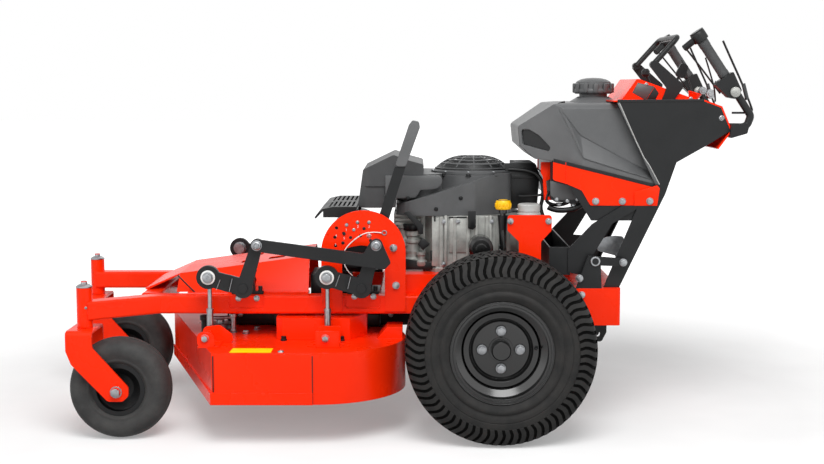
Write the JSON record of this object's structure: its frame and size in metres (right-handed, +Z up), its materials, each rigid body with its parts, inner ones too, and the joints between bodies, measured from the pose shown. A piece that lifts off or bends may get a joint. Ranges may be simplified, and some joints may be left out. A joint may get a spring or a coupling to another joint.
{
  "type": "walk-behind mower",
  "caption": "Red hydrostatic walk-behind mower with a side-discharge deck, two casters, two drive wheels, a rear tank and upright handles.",
  "frame": {"origin": "centre of the bounding box, on the floor under the wheels", "axes": "+Z up, -X the front with the casters and deck, +X the rear with the handles, -Y the left side, +Y the right side with the discharge chute"},
  "size_m": [1.9773, 1.1556, 1.1149],
  "materials": {
    "bare_aluminium": "as cast",
    "black_paint": "satin powder coat",
    "cast_motor": "black painted casting",
    "dark_plastic": "moulded, fine grain",
    "grey_plastic": "moulded, fine grain",
    "red_paint": "semi-gloss powder coat",
    "tyre_rubber": "moulded tread",
    "zinc_steel": "zinc plated"
  },
  "bodies": {
    "chassis": {"air_cleaner": "dark_plastic", "console_top": "red_paint", "control_levers": "black_paint", "drive_units": "cast_motor", "engine_block": "bare_aluminium", "engine_plate": "red_paint", "engine_shroud": "dark_plastic", "fan_guard": "dark_plastic", "frame_crossmembers": "red_paint", "frame_rail_left": "red_paint", "frame_rail_right": "red_paint", "front_cover": "red_paint", "fuel_cap": "dark_plastic", "fuel_tank": "grey_plastic", "handle_left": "black_paint", "handle_right": "black_paint", "height_dial": "red_paint", "lift_bearings": "black_paint", "muffler": "black_paint", "oil_fittings": "dark_plastic", "oil_reservoir": "bare_aluminium", "rear_frame_box": "red_paint", "rear_hitch": "black_paint", "rear_panel": "zinc_steel", "reservoir_bracket": "red_paint", "tank_skirt": "red_paint", "tower_left": "black_paint", "tower_right": "black_paint", "tower_tray": "black_paint", "wheel_motor_left": "cast_motor", "wheel_motor_right": "cast_motor"},
    "drive_wheel_left": {"drive_tyre_left": "tyre_rubber", "drive_rim_left": "black_paint"},
    "drive_wheel_right": {"drive_tyre_right": "tyre_rubber", "drive_rim_right": "black_paint"},
    "caster_swivel_left": {"caster_fork_left": "red_paint"},
    "caster_swivel_right": {"caster_fork_right": "red_paint"},
    "caster_wheel_left": {"caster_tyre_left": "tyre_rubber", "caster_rim_left": "black_paint"},
    "caster_wheel_right": {"caster_tyre_right": "tyre_rubber", "caster_rim_right": "black_paint"},
    "lift_front": {"lift_shaft_front": "black_paint"},
    "lift_rear": {"lift_shaft_rear": "black_paint", "lever_grip": "grey_plastic"},
    "link": {"link_bar": "black_paint"},
    "hanger_front_left": {"rod_front_left": "zinc_steel"},
    "hanger_front_right": {"rod_front_right": "zinc_steel"},
    "hanger_rear_left": {"rod_rear_left": "zinc_steel"},
    "hanger_rear_right": {"rod_rear_right": "zinc_steel"},
    "deck": {"deck_shell": "red_paint", "spindle_housings": "cast_motor", "deck_hangers": "red_paint", "belt_cover": "red_paint"},
    "cutter_left": {"blade_left": "zinc_steel"},
    "cutter_right": {"blade_right": "zinc_steel"},
    "chute": {"chute_deflector": "black_paint"}
  },
  "joints": [
    {"name": "deck_height", "type": "slide", "parent": "chassis", "child": "deck", "axis": [0, 0, 1], "range_m": [-0.101, 0]},
    {"name": "rear_lift_turn", "type": "hinge", "parent": "chassis", "child": "lift_rear", "pos_m": [-0.0843, -0.09125, 0.407], "axis": [0, -1, 0], "range_deg": [0, 62.49]},
    {"name": "front_lift_turn", "type": "hinge", "parent": "chassis", "child": "lift_front", "pos_m": [-0.4075, -0.09125, 0.407], "axis": [0, -1, 0], "range_deg": [0, 62.49]},
    {"name": "link_swing", "type": "hinge", "parent": "lift_rear", "child": "link", "pos_m": [-0.0433, -0.42625, 0.527], "axis": [0, -1, 0], "range_deg": [-62.49, 0]},
    {"name": "rod_swing_front_left", "type": "hinge", "parent": "lift_front", "child": "hanger_front_left", "pos_m": [-0.5015, -0.40625, 0.438], "axis": [0, -1, 0], "range_deg": [-67.67, 0]},
    {"name": "rod_swing_front_right", "type": "hinge", "parent": "lift_front", "child": "hanger_front_right", "pos_m": [-0.5015, 0.22375, 0.438], "axis": [0, -1, 0], "range_deg": [-67.67, 0]},
    {"name": "rod_swing_rear_left", "type": "hinge", "parent": "lift_rear", "child": "hanger_rear_left", "pos_m": [-0.1783, -0.40625, 0.438], "axis": [0, -1, 0], "range_deg": [-67.67, 0]},
    {"name": "rod_swing_rear_right", "type": "hinge", "parent": "lift_rear", "child": "hanger_rear_right", "pos_m": [-0.1783, 0.22375, 0.438], "axis": [0, -1, 0], "range_deg": [-67.67, 0]},
    {"name": "blade_spin_left", "type": "hinge", "parent": "deck", "child": "cutter_left", "pos_m": [-0.2082, -0.31825, 0.257], "axis": [0, 0, 1], "continuous": true},
    {"name": "blade_spin_right", "type": "hinge", "parent": "deck", "child": "cutter_right", "pos_m": [-0.4032, 0.13575, 0.257], "axis": [0, 0, 1], "continuous": true},
    {"name": "chute_fold", "type": "hinge", "parent": "deck", "child": "chute", "pos_m": [-0.4652, 0.38775, 0.251], "axis": [1, 0, 0], "range_deg": [0, 80]},
    {"name": "drive_roll_left", "type": "hinge", "parent": "chassis", "child": "drive_wheel_left", "pos_m": [0.2908, -0.47625, 0.2575], "axis": [0, 1, 0], "continuous": true},
    {"name": "drive_roll_right", "type": "hinge", "parent": "chassis", "child": "drive_wheel_right", "pos_m": [0.2908, 0.29375, 0.2575], "axis": [0, 1, 0], "continuous": true},
    {"name": "caster_turn_left", "type": "hinge", "parent": "chassis", "child": "caster_swivel_left", "pos_m": [-0.8352, -0.43825, 0.305], "axis": [0, 0, 1], "continuous": true},
    {"name": "caster_roll_left", "type": "hinge", "parent": "caster_swivel_left", "child": "caster_wheel_left", "pos_m": [-0.7402, -0.43825, 0.1395], "axis": [0, 1, 0], "continuous": true},
    {"name": "caster_turn_right", "type": "hinge", "parent": "chassis", "child": "caster_swivel_right", "pos_m": [-0.9392, 0.14075, 0.305], "axis": [0, 0, 1], "continuous": true},
    {"name": "caster_roll_right", "type": "hinge", "parent": "caster_swivel_right", "child": "caster_wheel_right", "pos_m": [-0.8442, 0.14075, 0.1395], "axis": [0, 1, 0], "continuous": true}
  ],
  "couplings": [
    {"joint": "rear_lift_turn", "follows": "deck_height", "rad_per_m": -10.695},
    {"joint": "front_lift_turn", "follows": "deck_height", "rad_per_m": -10.695},
    {"joint": "link_swing", "follows": "deck_height", "rad_per_m": 10.695},
    {"joint": "rod_swing_front_left", "follows": "deck_height", "rad_per_m": 11.589},
    {"joint": "rod_swing_front_right", "follows": "deck_height", "rad_per_m": 11.589},
    {"joint": "rod_swing_rear_left", "follows": "deck_height", "rad_per_m": 11.589},
    {"joint": "rod_swing_rear_right", "follows": "deck_height", "rad_per_m": 11.589}
  ]
}
